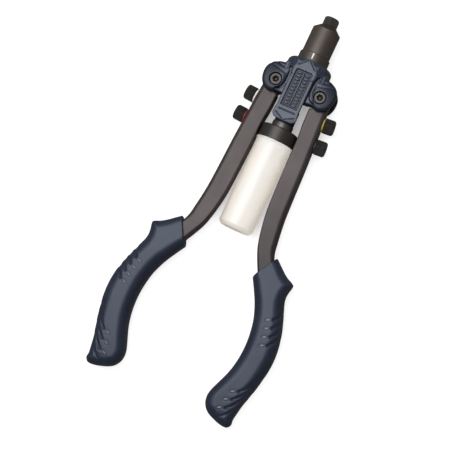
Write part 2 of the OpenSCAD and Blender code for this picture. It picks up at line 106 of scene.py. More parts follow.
def poly(g, points, mirrored=False):
    """Signed distance to a closed polygon."""
    x, y = g.plan(mirrored)
    best = np.full(x.shape, 1e9, F)
    inside = np.zeros(x.shape, bool)
    points = np.array(points, float)
    for start, end in zip(np.roll(points, 1, 0), points):
        ex, ey = end - start
        length2 = ex * ex + ey * ey
        if length2 < 1e-12:
            continue
        best = np.minimum(best, segment(x, y, start, end, length2)[0])
        if abs(ey) > 1e-12:
            crosses = (y < end[1]) != (y < start[1])
            inside ^= crosses & (x - F(start[0]) < (y - F(start[1])) * F(ex / ey))
    distance = np.sqrt(best)
    return np.where(inside, -distance, distance).astype(F)


def path(g, points, mirrored=False):
    """Distance to an open polyline, and the nearest point's place along it (0 to 1)."""
    x, y = g.plan(mirrored)
    best = np.full(x.shape, 1e9, F)
    along = np.zeros(x.shape, F)
    points = np.array(points, float)
    lengths = np.hypot(*(points[1:] - points[:-1]).T)
    total, run = lengths.sum(), 0.0
    for start, end, length in zip(points, points[1:], lengths):
        d, t = segment(x, y, start, end, length ** 2)
        near = d < best
        best = np.where(near, d, best)
        along = np.where(near, (run + t * F(length)) / F(total), along)
        run += length
    return np.sqrt(best), along


def slab(coord, low, high):
    return np.abs(coord - (low + high) / 2) - (high - low) / 2


def pad(outline, through, rim):
    """Flat shape (outline) cut to a thickness (through), its edges rounded by rim."""
    a, b = outline + rim, through + rim
    outside = np.sqrt(np.maximum(a, 0) ** 2 + np.maximum(b, 0) ** 2)
    return np.minimum(np.maximum(a, b), 0) + outside - rim


def rod_y(g, radius, low, high, rim=0.0):
    """Cylinder on the Y axis."""
    return pad(np.sqrt(g.x ** 2 + g.z ** 2) - radius, slab(g.y, low, high), rim)


def brick(g, low, high, rim=0.0):
    q = [slab(c, a, b) + rim for c, a, b in zip((g.x, g.y, g.z), low, high)]
    out = np.sqrt(sum(np.maximum(c, 0) ** 2 for c in q))
    return out + np.minimum(np.maximum(np.maximum(q[0], q[1]), q[2]), 0) - rim


def groove(distance, depth, width):
    """Soft furrow of a given depth along a line at this distance."""
    return (depth * np.exp(-(distance / width) ** 2)).astype(F)


def pivot_distance(g):
    return np.sqrt((g.abs_x - PIVOT_X) ** 2 + g.y ** 2)


def both_sides(points):
    return points + [(-x, y) for x, y in points[::-1]]


def catmull(points, steps):
    """Smooth curve through the points, with this many steps between two of them."""
    p = np.array(points, float)
    out = []
    for i in range(len(p) - 1):
        a, b, c, d = p[max(i - 1, 0)], p[i], p[i + 1], p[min(i + 2, len(p) - 1)]
        for j in range(steps):
            t = j / steps
            out.append(0.5 * (2 * b + (c - a) * t + (2 * a - 5 * b + 4 * c - d) * t * t
                              + (3 * b - a - 3 * c + d) * t ** 3))
    out.append(p[-1])
    return np.array(out)


def band(stations, grow=0.0):
    """Outline of a strip from its x, y, width stations: +X side, then back along the other."""
    p = np.array(stations, float)
    d = np.gradient(p[:, :2], axis=0)
    d /= np.linalg.norm(d, axis=1)[:, None]
    half = (p[:, 2] / 2 + grow)[:, None]
    normal = np.stack([-d[:, 1], d[:, 0]], 1)
    return np.concatenate([p[:, :2] + normal * half, (p[:, :2] - normal * half)[::-1]])


# ---------------------------------------------------------------- fields to meshes
def sample(field, g, points):
    """Trilinear reading of the field."""
    q = (points - g.low) / g.step
    q = np.clip(q, 0, np.array(g.count) - 1.001)
    i = q.astype(int)
    f = (q - i).astype(F)
    out = 0
    for dx in (0, 1):
        for dy in (0, 1):
            for dz in (0, 1):
                weight = ((f[:, 0] if dx else 1 - f[:, 0]) * (f[:, 1] if dy else 1 - f[:, 1])
                          * (f[:, 2] if dz else 1 - f[:, 2]))
                out = out + weight * field[i[:, 0] + dx, i[:, 1] + dy, i[:, 2] + dz]
    return out


def to_surface(g, field):
    """Vertices (mm) and outward quads of field = 0, evened out along the surface."""
    field = np.ascontiguousarray(np.broadcast_to(field, g.count), dtype=F)
    limit = 3 * g.step
    volume = vdb.FloatGrid(limit)
    volume.copyFromArray(np.clip(field, -limit, limit))
    pts, quads = volume.convertToQuads(isovalue=0)
    pts = pts.astype(float) * g.step + g.low
    quads = quads.astype(np.int64)
    edges = np.concatenate([quads[:, [i, (i + 1) % 4]] for i in range(4)])
    n = len(pts)
    eps = 0.5 * g.step
    valence = np.bincount(edges.ravel(), minlength=n)[:, None]
    for _ in range(3):
        near = np.zeros((n, 3))
        for axis in range(3):
            near[:, axis] = (np.bincount(edges[:, 0], pts[edges[:, 1], axis], n)
                             + np.bincount(edges[:, 1], pts[edges[:, 0], axis], n))
        move = near / np.maximum(valence, 1) - pts
        grad = np.stack([sample(field, g, pts + eps * e) - sample(field, g, pts - eps * e)
                         for e in np.eye(3)], 1) / (2 * eps)
        size = np.linalg.norm(grad, axis=1)[:, None]
        normal = grad / np.maximum(size, 1e-6)
        # slide along the surface, then step back onto it
        move -= (move * normal).sum(1)[:, None] * normal
        pts = pts + 0.5 * move
        d = sample(field, g, pts)[:, None]
        pts = pts - np.clip(d, -0.4 * g.step, 0.4 * g.step) * normal / np.maximum(size, 0.5)
    a, b, c, d = (pts[quads[:, i]] for i in range(4))
    normal = np.cross(c - a, d - b)
    normal = normal / np.maximum(np.linalg.norm(normal, axis=1)[:, None], 1e-9)
    mid = (a + b + c + d) / 4
    outer = sample(field, g, mid + normal * g.step)
    if np.median(outer - sample(field, g, mid - normal * g.step)) < 0:
        quads = quads[:, ::-1]
    return pts, quads


def add_mesh(name, pts, faces, material, body, slot, stands_for=(), mirrored=False, thin=None):
    """Mesh object from points in mm and quads; thin is the share of faces kept."""
    pts = np.array(pts, float)
    faces = np.array(faces)
    if mirrored:
        pts = pts * [-1, 1, 1]
        faces = faces[:, ::-1]
    mesh = bpy.data.meshes.new(name)
    corners = faces.shape[1]
    mesh.vertices.add(len(pts))
    mesh.vertices.foreach_set("co", (pts * MM).astype(F).ravel())
    mesh.loops.add(faces.size)
    mesh.loops.foreach_set("vertex_index", faces.ravel().astype(np.int32))
    mesh.polygons.add(len(faces))
    mesh.polygons.foreach_set("loop_start", np.arange(0, faces.size, corners, dtype=np.int32))
    mesh.polygons.foreach_set("loop_total", np.full(len(faces), corners, np.int32))
    mesh.update(calc_edges=True)
    mesh.validate()
    ob = bpy.data.objects.new(name, mesh)
    bpy.context.scene.collection.objects.link(ob)
    if thin:
        ob.modifiers.new("thin", "DECIMATE").ratio = thin
        graph = bpy.context.evaluated_depsgraph_get()
        thinned = bpy.data.meshes.new_from_object(ob.evaluated_get(graph), depsgraph=graph)
        ob.modifiers.clear()
        ob.data = thinned
        thinned.name = name
    ob.data.shade_smooth()
    ob.data.materials.append(material)
    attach(ob, body)
    if stands_for:
        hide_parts(*stands_for)


# ---------------------------------------------------------------- shader building
def shade(colour, factor):
    return tuple(min(1, c * factor) for c in colour)


class Shader:
    """A material with a Principled shader, and short ways to wire nodes to it."""

    def __init__(self, name):
        self.material = bpy.data.materials.new(name)
        self.material.use_nodes = True
        self.tree = self.material.node_tree
        self.tree.nodes.clear()
        self.out = self.new("ShaderNodeOutputMaterial")
        self.base = self.new("ShaderNodeBsdfPrincipled")
        self.coords = self.new("ShaderNodeTexCoord").outputs["Object"]
        self.surface(self.base.outputs[0])

    def new(self, kind, **settings):
        node = self.tree.nodes.new(kind)
        for key, value in settings.items():
            setattr(node, key, value)
        return node

    def feed(self, socket, value):
        """Link a socket, or set a value; RGB colours get their alpha."""
        if isinstance(value, bpy.types.NodeSocket):
            self.tree.links.new(value, socket)
        elif socket.type == "RGBA":
            socket.default_value = (*value, 1)
        else:
            socket.default_value = value

    def surface(self, socket):
        self.feed(self.out.inputs["Surface"], socket)

    def set(self, **inputs):
        for key, value in inputs.items():
            self.feed(self.base.inputs[key.replace("_", " ")], value)

    def noise(self, scale, detail=4, roughness=0.55, stretch=None):
        node = self.new("ShaderNodeTexNoise")
        node.inputs["Scale"].default_value = scale
        node.inputs["Detail"].default_value = detail
        node.inputs["Roughness"].default_value = roughness
        vector = self.coords
        if stretch:
            mapping = self.new("ShaderNodeMapping")
            mapping.inputs["Scale"].default_value = stretch
            self.feed(mapping.inputs["Vector"], vector)
            vector = mapping.outputs[0]
        self.feed(node.inputs["Vector"], vector)
        return node.outputs["Fac"]

    def ramp(self, socket, low, high, first=(0, 0, 0), last=(1, 1, 1)):
        node = self.new("ShaderNodeValToRGB")
        elements = node.color_ramp.elements
        for element, place, colour in zip(elements, (low, high), (first, last)):
            element.position = place
            element.color = (*colour, 1)
        self.feed(node.inputs["Fac"], socket)
        return node.outputs[0]

    def mix(self, factor, a, b):
        node = self.new("ShaderNodeMix", data_type="RGBA")
        for i, value in ((0, factor), (6, a), (7, b)):
            self.feed(node.inputs[i], value)
        return node.outputs[2]

    def mix_shader(self, factor, a, b):
        node = self.new("ShaderNodeMixShader")
        for socket, value in zip(node.inputs, (factor, a, b)):
            self.feed(socket, value)
        return node.outputs[0]

    def math(self, operation, a, b=0.0, clamp=False):
        node = self.new("ShaderNodeMath", operation=operation, use_clamp=clamp)
        for socket, value in zip(node.inputs, (a, b)):
            self.feed(socket, value)
        return node.outputs[0]

    def add(self, a, b):
        return self.math("ADD", a, b)

    def subtract(self, a, b, clamp=False):
        return self.math("SUBTRACT", a, b, clamp)

    def multiply(self, first, *others):
        for other in others:
            first = self.math("MULTIPLY", first, other)
        return first

    def invert(self, socket):
        return self.subtract(1.0, socket)

    def below(self, socket, limit):
        return self.math("LESS_THAN", socket, limit)

    def above(self, socket, limit):
        return self.math("GREATER_THAN", socket, limit)

    def step(self, socket, low, high):
        """Smooth rise from 0 at low to 1 at high."""
        node = self.new("ShaderNodeMapRange", interpolation_type="SMOOTHSTEP")
        for target, value in zip(node.inputs, (socket, low, high)):
            self.feed(target, value)
        return node.outputs[0]

    def around(self, socket, middle, swing):
        """Noise turned into a value that swings about a middle."""
        return self.add(self.multiply(socket, swing), middle - swing / 2)

    def position(self):
        node = self.new("ShaderNodeSeparateXYZ")
        self.feed(node.inputs["Vector"], self.coords)
        return tuple(node.outputs)

    def bump(self, height, strength, distance, normal=None):
        node = self.new("ShaderNodeBump")
        node.inputs["Strength"].default_value = strength
        node.inputs["Distance"].default_value = distance
        self.feed(node.inputs["Height"], height)
        if normal is not None:
            self.feed(node.inputs["Normal"], normal)
        return node.outputs[0]

    def edge(self, low, high):
        """1 on convex edges, 0 elsewhere."""
        pointiness = self.new("ShaderNodeNewGeometry").outputs["Pointiness"]
        return self.ramp(pointiness, low, high)


# ---------------------------------------------------------------- materials (metres)
def paint(name, dark, mid, rough, grain, bump, worn, wear, spec, metallic=0.0,
          tint=(1, 1, 1), unshaded=None, wear_and_highlight=None):
    """Grainy coat: wear is its edge colour and worn how strongly it shows.

    The last two arguments build masks: the first is 0 where painted shade darkens the coat and
    dims its shine, the second is 1 where the coat is rubbed pale, partly wear and partly a
    painted highlight.
    """
    m = Shader(name)
    clouds = m.noise(45, detail=3)
    specks = m.noise(grain, detail=5, roughness=0.6)
    base = m.mix(m.ramp(clouds, 0.35, 0.68), dark, mid)
    base = m.mix(m.multiply(m.ramp(specks, 0.40, 0.70), 0.35), base, shade(mid, 1.5))
    base = m.mix(m.multiply(m.edge(0.50, 0.56), worn), base, wear)
    normal = m.bump(specks, strength=bump, distance=0.00022)
    fine = m.noise(2600, detail=3, roughness=0.5)
    normal = m.bump(fine, strength=bump * 0.6, distance=0.0001, normal=normal)
    # painted shade: where the mask is low the coat turns near black and loses its shine
    if unshaded:
        mask = unshaded(m)
        base = m.mix(mask, (0.004, 0.005, 0.008), base)
        spec = m.multiply(mask, spec)
    # wear and painted highlight: rubbed spots turn pale
    if wear_and_highlight:
        base = m.mix(wear_and_highlight(m), base, (0.17, 0.18, 0.22))
    m.set(Base_Color=base, Roughness=m.around(specks, middle=rough, swing=0.16), Normal=normal,
          Metallic=metallic, Specular_IOR_Level=spec, Specular_Tint=tint)
    return m.material


def cast_painted_shade(m):
    """Painted shade: darker outer ears, and a darker floor in the label recess."""
    x, y, z = m.position()
    side = m.math("ABSOLUTE", x)
    rim = m.math("MAXIMUM", m.step(side, 0.0150, 0.0235), m.invert(m.step(y, -0.0090, 0.0020)))
    ear = m.multiply(m.step(side, 0.0118, 0.0135), rim, m.invert(m.step(y, 0.0140, 0.0170)))
    # 7.2 mm either side of the middle, 16 mm either way from y = -1.4 mm
    label = m.multiply(m.below(side, 0.0072),
                       m.below(m.math("ABSOLUTE", m.add(y, 0.0014)), 0.0160))
    sunk = m.multiply(m.invert(m.step(z, 0.0148, 0.0154)), m.above(z, 0.0130))
    # strengths of the painted shade on the ears and in the label recess
    ear_shade, recess_shade = 0.46, 0.48             # strength of each
    return m.multiply(m.invert(m.multiply(ear, ear_shade)),
                      m.invert(m.multiply(label, sunk, recess_shade)))


def bead_wear_and_highlight(m):
    """The raised beads are rubbed pale, partly wear and partly a painted highlight, more so on
    the right grip.
    """
    x, y, _ = m.position()
    side = m.math("ABSOLUTE", x)
    total = None
    for bead_x, bead_y, _, _ in BEADS:
        # an ellipse of 1.7 by 0.8 mm, set a little off the bead's centre where the painted
        # highlight falls
        dx = m.subtract(side, (bead_x - 0.2) * MM)
        dy = m.subtract(y, (bead_y + 0.25) * MM)
        u = m.math("DIVIDE", m.add(m.multiply(dx, BEAD_COS), m.multiply(dy, BEAD_SIN)), 0.0017)
        v = m.math("DIVIDE", m.subtract(m.multiply(dy, BEAD_COS), m.multiply(dx, BEAD_SIN)),
                   0.0008)
        spot = m.subtract(1.0, m.add(m.multiply(u, u), m.multiply(v, v)), clamp=True)
        total = spot if total is None else m.math("MAXIMUM", total, spot)
    left, extra_right = 0.45, 0.45      # strength of the wear and painted highlight
    return m.multiply(total, m.add(left, m.multiply(m.above(x, 0.0), extra_right)))


def arm_painted_shade(m):
    """Painted shade: the right arm is a little darker towards its grip."""
    x, y, _ = m.position()
    far = m.multiply(m.invert(m.step(y, -0.125, -0.070)), m.above(x, 0.0))
    return m.invert(m.multiply(far, 0.22))


def turned_shader(name, dark, light, rough, metallic, axis="y"):
    """Turned steel: faint rings round its axis, cloudy tint, brighter edges."""
    m = Shader(name)
    base = m.mix(m.ramp(m.noise(120), 0.32, 0.70), dark, light)
    base = m.mix(m.multiply(m.edge(0.51, 0.60), 0.35), base, shade(light, 2.2))
    rings = m.noise(1.0, detail=3, roughness=0.6,
                    stretch=tuple(9000 if a == axis else 40 for a in "xyz"))
    normal = m.bump(rings, strength=0.18, distance=0.00008)
    normal = m.bump(m.noise(1400), strength=0.12, distance=0.0001, normal=normal)
    m.set(Base_Color=base, Roughness=m.around(rings, middle=rough, swing=0.18), Normal=normal,
          Metallic=metallic)
    return m


def turned(*args, **settings):
    return turned_shader(*args, **settings).material


def bolt(name, dark, light):
    """Blackened bolt steel, with painted shade darkening its socket and a paler spot on the
    socket floor as a painted reflection.
    """
    m = turned_shader(name, dark, light, rough=0.42, metallic=0.45, axis="z")
    x, y, z = m.position()
    dx = m.subtract(m.math("ABSOLUTE", x), PIVOT_X * MM)
    radius = m.math("SQRT", m.add(m.multiply(dx, dx), m.multiply(y, y)))
    socket = m.multiply(m.below(radius, 0.00292), m.below(z, 0.01315), m.above(z, 0.0099))
    floor_glint = m.multiply(m.below(radius, 0.00085), m.above(z, 0.0106))
    sunk = m.subtract(socket, m.multiply(floor_glint, 0.6), clamp=True)
    steel = m.base.inputs["Base Color"].links[0].from_socket
    socket_shade_colour = m.mix(m.noise(900, detail=3), (0.012, 0.0085, 0.007), (0.021, 0.0155, 0.013))
    # painted shade: no metal in the socket, and hardly any shine
    m.set(Base_Color=m.mix(sunk, steel, socket_shade_colour),
          Metallic=m.multiply(m.invert(socket), 0.40),
          Specular_IOR_Level=m.subtract(0.34, m.multiply(sunk, 0.30)))
    return m.material


def rubber(name, colour):
    m = Shader(name)
    grain = m.noise(1500)
    m.set(Base_Color=m.mix(m.ramp(grain, 0.3, 0.75), shade(colour, 0.8), shade(colour, 1.15)),
          Roughness=0.55, Normal=m.bump(grain, strength=0.2, distance=0.0001),
          Specular_IOR_Level=0.4)
    return m.material


def milky(name):
    """Milky plastic that lets light through, with a painted glow that is stronger at +X and
    painted shade that darkens it at -X.
    """
    m = Shader(name)
    streaks = m.noise(60, roughness=0.5, stretch=(3, 0.6, 3))
    base = m.mix(m.ramp(streaks, 0.3, 0.75), (0.93, 0.91, 0.88), (0.97, 0.955, 0.935))
    side = m.math("DIVIDE", m.position()[0], 0.0130)       # -1 to 1 across 26 mm
    lit, shaded = (m.math("POWER", m.math("MULTIPLY", side, sign, clamp=True), 2.0)
                   for sign in (1.0, -1.0))
    # painted shade darkens the -X side; the emission is a painted glow, brighter at +X
    m.set(Base_Color=m.mix(m.multiply(shaded, 0.85), base, (0.60, 0.57, 0.53)),
          Roughness=0.36, Normal=m.bump(m.noise(1800), strength=0.12, distance=0.0001),
          Specular_IOR_Level=0.45, Subsurface_Weight=1.0, Subsurface_Scale=0.004,
          Subsurface_Radius=(1.0, 0.9, 0.75), Emission_Color=(1.0, 0.97, 0.92),
          Emission_Strength=m.add(0.08, m.multiply(lit, 0.20)))
    thin = m.new("ShaderNodeBsdfTranslucent")
    m.feed(thin.inputs["Color"], (0.93, 0.88, 0.80))
    m.surface(m.mix_shader(0.35, m.base.outputs[0], thin.outputs[0]))
    return m.material


CAST = paint("cast_paint", (0.012, 0.017, 0.030), (0.022, 0.028, 0.047), rough=0.44,
             grain=1100, bump=0.35, worn=0.35, wear=(0.10, 0.11, 0.14), spec=0.50,
             unshaded=cast_painted_shade, tint=(0.88, 0.91, 1.0))
GRIP = paint("grip_plastic", (0.011, 0.016, 0.028), (0.018, 0.024, 0.039), rough=0.46,
             grain=1500, bump=0.22, worn=0.10, wear=(0.085, 0.095, 0.12), spec=0.37,
             wear_and_highlight=bead_wear_and_highlight, tint=(0.78, 0.83, 1.0))
ARM = paint("arm_coat", (0.030, 0.022, 0.021), (0.046, 0.037, 0.036), rough=0.48,
            grain=1300, bump=0.28, worn=0.3, wear=(0.13, 0.11, 0.10), metallic=0.22,
            spec=0.37, unshaded=arm_painted_shade)
NOSE = turned("nose_steel", (0.034, 0.026, 0.022), (0.054, 0.043, 0.038),
              rough=0.54, metallic=0.42)
RING = turned("ring_steel", (0.026, 0.021, 0.015), (0.044, 0.036, 0.028),
              rough=0.52, metallic=0.4)
TIP = turned("nosepiece_steel", (0.036, 0.031, 0.028), (0.064, 0.056, 0.051),
             rough=0.42, metallic=0.45)
SPARE = turned("spare_steel", (0.020, 0.018, 0.016), (0.038, 0.034, 0.032),
               rough=0.40, metallic=0.5, axis="x")
BOLT = bolt("bolt_steel", (0.025, 0.020, 0.019), (0.040, 0.034, 0.032))
INNER = turned("inner_steel", (0.42, 0.42, 0.42), (0.58, 0.58, 0.58),
               rough=0.30, metallic=1.0)
BRONZE = turned("bronze", (0.42, 0.30, 0.14), (0.60, 0.45, 0.24),
                rough=0.38, metallic=1.0, axis="z")
NECK = turned("adapter_steel", (0.044, 0.038, 0.036), (0.082, 0.073, 0.072),
              rough=0.46, metallic=0.62)
COLLAR = paint("collar_plastic", (0.007, 0.005, 0.004), (0.011, 0.008, 0.007), rough=0.47,
               grain=1800, bump=0.12, worn=0.2, wear=(0.08, 0.07, 0.065), spec=0.38)
MILK = milky("bottle_plastic")

# CAD pieces that keep their own mesh
for piece, material in {
    "pull_tube": INNER, "neck_adapter": NECK, "bottle_collar": COLLAR,
    "pivot_bolts": BOLT, "pivot_nuts": BOLT, "thrust_washers": BRONZE,
    "jaw_case": INNER, "jaw_spring": INNER, "jaw_pusher": INNER, "jaw_upper": INNER,
    "jaw_left": INNER, "jaw_right": INNER, "nose_housing": NOSE, "lock_ring": RING,
    "rack_sleeve": INNER, "nosepiece": TIP,
    "left_pivot_bush": BRONZE, "right_pivot_bush": BRONZE,
    "spare_left_front": SPARE, "spare_left_rear": SPARE,
    "spare_right_front": SPARE, "spare_right_rear": SPARE,
    "o_ring_left_front": rubber("ring_white", (0.80, 0.78, 0.72)),
    "o_ring_left_rear": rubber("ring_red", (0.20, 0.022, 0.016)),
    "o_ring_right_front": rubber("ring_yellow", (0.34, 0.28, 0.035)),
    "o_ring_right_rear": rubber("ring_blue", (0.012, 0.016, 0.045)),
    "bottle": MILK,
}.items():
    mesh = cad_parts[piece].data
    mesh.materials.clear()
    mesh.materials.append(material)

# ---------------------------------------------------------------- head casting
FLAT_Z = 16.2               # front and back flats of the barrel
TRIANGLE = (7.3, 17.3)      # x, y of a lower corner of the flat triangle on the barrel
WEB_X, WEB_TOP_Y, WEB_Z = 17.6, 18.0, 12.7
FRONT_END_Y, BACK_END_Y = -8.5, -5.8        # lower ends of web and spine, front and back
EAR_HALF = 14.0             # half thickness of the ears at their pivots
SLOT_HALF = 7.25            # half height of the slot the arm heads turn in
SLOT_RADIUS = 10.9
SEAT_Z = 9.45               # floors of the round seats at the pivots

# Outline of the right ear and middle line of the right moat: x, y
EAR = catmull([
    (12.2, -2.0), (13.2, -4.6), (15.3, -7.0), (17.6, -9.2), (20.6, -10.0), (24.4, -9.2),
    (28.2, -6.2), (30.5, -1.4), (31.1, 3.6), (30.4, 8.0), (27.8, 12.0), (23.6, 14.7),
    (19.0, 16.0), (15.6, 16.4), (13.4, 14.6), (12.2, 11.5), (11.9, 4.5), (12.2, -2.0)], 6)
MOAT = catmull([(12.3, 13.4), (11.35, 10.3), (10.95, 4.5), (11.2, 0.7), (12.4, -2.9),
                (14.4, -5.4), (16.4, -6.9)], 4)
# Ribs across the outer top of the right ear: x, y
EAR_RIBS = ([(14.6, 7.8), (20, 9.0), (26.5, 10.6), (30.6, 11.6)],
            [(14.2, 11.6), (19.5, 12.6), (24.5, 14.2), (27, 15.2)])


def label_floor(y):
    return LABEL_TOP_Z + (LABEL_TOP_Y - y) * LABEL_RISE


def barrel_field(g):
    """Barrel with a rounded rim, flattened front and back."""
    barrel = rod_y(g, radius=18.7, low=7.5, high=24.5, rim=4.2)
    barrel = smooth_max(barrel, g.abs_z - FLAT_Z, 0.8)
    # facets at 45 degrees leave a flat triangle pointing at the nose
    diagonal = math.sqrt(0.5)
    beyond = (g.abs_x - TRIANGLE[0]) * diagonal + (g.y - TRIANGLE[1]) * diagonal
    facets = (g.abs_z - FLAT_Z + np.maximum(beyond, 0) * 0.42) * 0.92
    return smooth_max(barrel, facets, 0.5)


def web_field(g):
    """Web between the ears, longer in front than behind."""
    front = brick(g, (-WEB_X, FRONT_END_Y, -2.0), (WEB_X, WEB_TOP_Y, WEB_Z), rim=1.4)
    back = brick(g, (-WEB_X, BACK_END_Y, -WEB_Z), (WEB_X, WEB_TOP_Y, 4.0), rim=1.4)
    return np.minimum(front, back)


def ears_field(g):
    """Ears that thin out away from their pivots, with ribs."""
    lift = np.clip(pivot_distance(g) - 5.5, 0, 20)
    through = g.abs_z - EAR_HALF + 0.13 * lift + 0.010 * lift ** 2
    ears = pad(poly(g, EAR[:-1], mirrored=True), through, 2.4)
    for rib in EAR_RIBS:
        distance = path(g, rib, mirrored=True)[0]
        ears = ears + groove(distance, depth=0.42, width=0.6) * (g.abs_z > 9)
    return ears


def spine_field(g):
    def half(end_y, low, high):
        outline = both_sides([(0, 22), (SPINE_X, 22), (SPINE_X, end_y), (0, end_y)])
        return pad(poly(g, outline), slab(g.z, low, high), 1.1)

    return np.minimum(half(FRONT_END_Y, 0.0, FACE_Z), half(BACK_END_Y, -FACE_Z, 2.0))


def tongue_field(g):
    """Tapered front plate, round boss for the pull tube and narrow rib behind."""
    outline = poly(g, both_sides([
        (0, 16), (SPINE_X, 16), (SPINE_X, -18.0), (10.5, -24.4), (10.2, -25.8), (7.9, -28.3),
        (0, -28.8)]))
    taper = np.maximum(14.6 - g.z, 0) * 0.24
    plate = pad(outline + taper, slab(g.z, 4.4, FACE_Z), 1.0)
    foot = -(g.y + 23.2) + (7.4 - g.abs_x) * -0.62
    plate = smooth_max(plate, (g.z - FACE_Z + np.maximum(foot, 0) * 0.16) * 0.98, 0.2)
    floor_glint = rod_y(g, radius=8.2, low=-28.8, high=-5.0, rim=0.5)
    outline = poly(g, both_sides([(0, -2), (5, -2), (4.9, -25.0), (3.9, -28.2), (0, -28.2)]))
    rib = pad(outline, slab(g.z, -FACE_Z, -4.0), 1.2)
    return smooth_min(smooth_min(plate, floor_glint, 1.4), rib, 1.6)


def carve_surface(g, field):
    """Moats, incised lines and the label recess."""
    # moats run down beside the spine and round under each ear, narrower at their ends
    distance = path(g, MOAT, mirrored=True)[0]
    fade = np.clip((-4.5 - g.y) / 3.0, 0, 1)
    moat = np.maximum(distance - 0.95 + 0.7 * fade, 10.2 + 1.6 * fade - g.abs_z)
    field = smooth_max(field, -moat, 0.8)
    # lines: two sides of the triangle, two on the foot and one under the label
    for points, depth, where, mirrored in (
            ([(0.9, 23.6), (6.6, 17.9)], 0.62, g.abs_z > 13, True),
            ([(0.9, -27.8), (7.6, -24.1)], 0.55, g.z > 13, True),
            ([(-6.6, -20.4), (6.6, -20.4)], 0.55, g.z > 13, False)):
        field = field + groove(path(g, points, mirrored)[0], depth, width=0.42) * where
    recess = poly(g, [(-7, -17.2), (7, -17.2), (7, 13.2), (5.9, LABEL_TOP_Y),
                      (-5.9, LABEL_TOP_Y), (-7, 13.2)])
    return smooth_max(field, -pad(recess, label_floor(g.y) - g.z, 0.3), 0.22)


def carve_inside(g, field):
    """Bores on the Y axis, slots for the arm heads, and seats and holes at the pivots."""
    pivot = pivot_distance(g)
    field = smooth_max(field, -rod_y(g, radius=13.0, low=9.8, high=30), 0.3)
    field = np.maximum(field, -rod_y(g, radius=8.8, low=-16, high=12))
    field = np.maximum(field, -rod_y(g, radius=6.1, low=-40, high=0))
    field = np.maximum(field, -brick(g, (-11.9, -16, -SLOT_HALF), (11.9, 12, SLOT_HALF)))
    slot = np.minimum(pivot - SLOT_RADIUS, np.maximum(12.6 - g.abs_x, g.y))
    outward = np.maximum(PIVOT_X - g.abs_x, np.maximum(g.y - SLOT_RADIUS, -1.0 - g.y))
    slot = np.maximum(np.minimum(slot, outward), g.abs_z - SLOT_HALF)
    field = smooth_max(field, -slot, 0.25)
    field = smooth_max(field, -np.maximum(pivot - 5.35, SEAT_Z - g.z), 0.3)
    field = smooth_max(field, -np.maximum(pivot - 6.4, SEAT_Z + g.z), 0.35)
    return np.maximum(field, -(pivot - 3.1))


def head():
    g = Grid((-32.4, -30.6, -17.6), (32.4, 26.2, 17.6), 0.29)
    field = smooth_min(barrel_field(g), web_field(g), 2.4)
    field = smooth_min(field, ears_field(g), 1.0)
    field = smooth_min(field, spine_field(g), 0.9)
    field = np.minimum(field, tongue_field(g))
    field = carve_inside(g, carve_surface(g, field))
    add_mesh("head_shell", *to_surface(g, field), CAST, "head", "cast_paint",
             ["head_casting"], thin=0.42)


def label_bars():
    """Two columns of plain raised bars in the label recess, and a divider between them."""
    pitch, corner = 2.92, 0.45
    bars = []                           # centre x, y, half width, half height
    for x, count, top in ((-3.2, 10, 12.0), (3.4, 10, 11.5)):
        for k in range(count):          # every third bar is shorter
            bars.append((x, top - k * pitch, 1.8 if (k + (x > 0)) % 3 else 1.5, 0.74))
    bars.append((0.1, -1.2, 0.55, 14.2))
    pts, faces = [], []
    for x, y, half_w, half_h in bars:
        first = len(pts)
        # outlines from the root up: growth, z
        for grow, z in ((0.22, label_floor(y) - 0.3), (0.0, 15.3), (-0.08, 15.45),
                        (-0.26, 15.56)):
            for quarter, (sx, sy) in enumerate(((1, 1), (-1, 1), (-1, -1), (1, -1))):
                for i in range(4):
                    t = math.radians(90 * i / 3 + 90 * quarter)
                    pts.append((x + sx * (half_w + grow - corner) + corner * math.cos(t),
                                y + sy * (half_h + grow - corner) + corner * math.sin(t), z))
        for low in range(first, first + 48, 16):
            for i in range(16):
                j = (i + 1) % 16
                faces.append([low + i, low + j, low + 16 + j, low + 16 + i])
        for cap, turn in ((first + 48, 1), (first, -1)):
            for i in range(1, 15, 2):
                faces.append([cap, cap + i, cap + i + 1, cap + i + 2][::turn])
    add_mesh("label_bars", pts, faces, CAST, "head", "cast_paint")


# ---------------------------------------------------------------- arms
# Middle line of the right arm's bar and tang: x, y, width
BAR = catmull([
    (21.3, -9, 14.6), (21.6, -14, 15.0), (22.15, -24, 15.2), (22.85, -33, 14.8),
    (23.5, -48, 15.4), (23.9, -58, 15.7), (25.1, -88, 15.8), (26.3, -103, 15.5),
    (28.7, -118, 14.7), (31.4, -129, 13.4), (37.9, -143.5, 12.2)], 4)
TANG = catmull([
    (34.1, -136, 12), (37.9, -143.5, 12), (43.3, -152.5, 12), (49.2, -163, 12),
    (54.3, -174, 12), (57.8, -186, 12), (59.5, -200, 12), (59, -214, 12),
    (56.9, -226, 11.4), (53.9, -237, 10.6), (51.8, -246, 9.6)], 4)
ARM_HEAD = 9.4              # outer radius of the arm head
# Seats for the spares on the right arm: x, y, angle in degrees
SPARE_SEATS = ((29.0, -16.8, 4.3), (30.0, -35.1, 3.5))


def edge_radius(g):
    """Roundness of the bar's edges: broad on its outer side, crisp on its inner side."""
    loop = band(BAR)
    outer = path(g, loop[:len(BAR)])[0]
    inner = path(g, loop[len(BAR):])[0]
    t = np.clip(inner / (inner + outer + 1e-3), 0, 1)
    t = np.clip((t - 0.25) / 0.5, 0, 1)
    radius = BAR_RIM + 2.7 * t * t * (3 - 2 * t)
    in_grip = np.clip((-124.0 - g.y) / 12.0, 0, 1)
    return (radius * (1 - in_grip) + 2.2 * in_grip).astype(F)


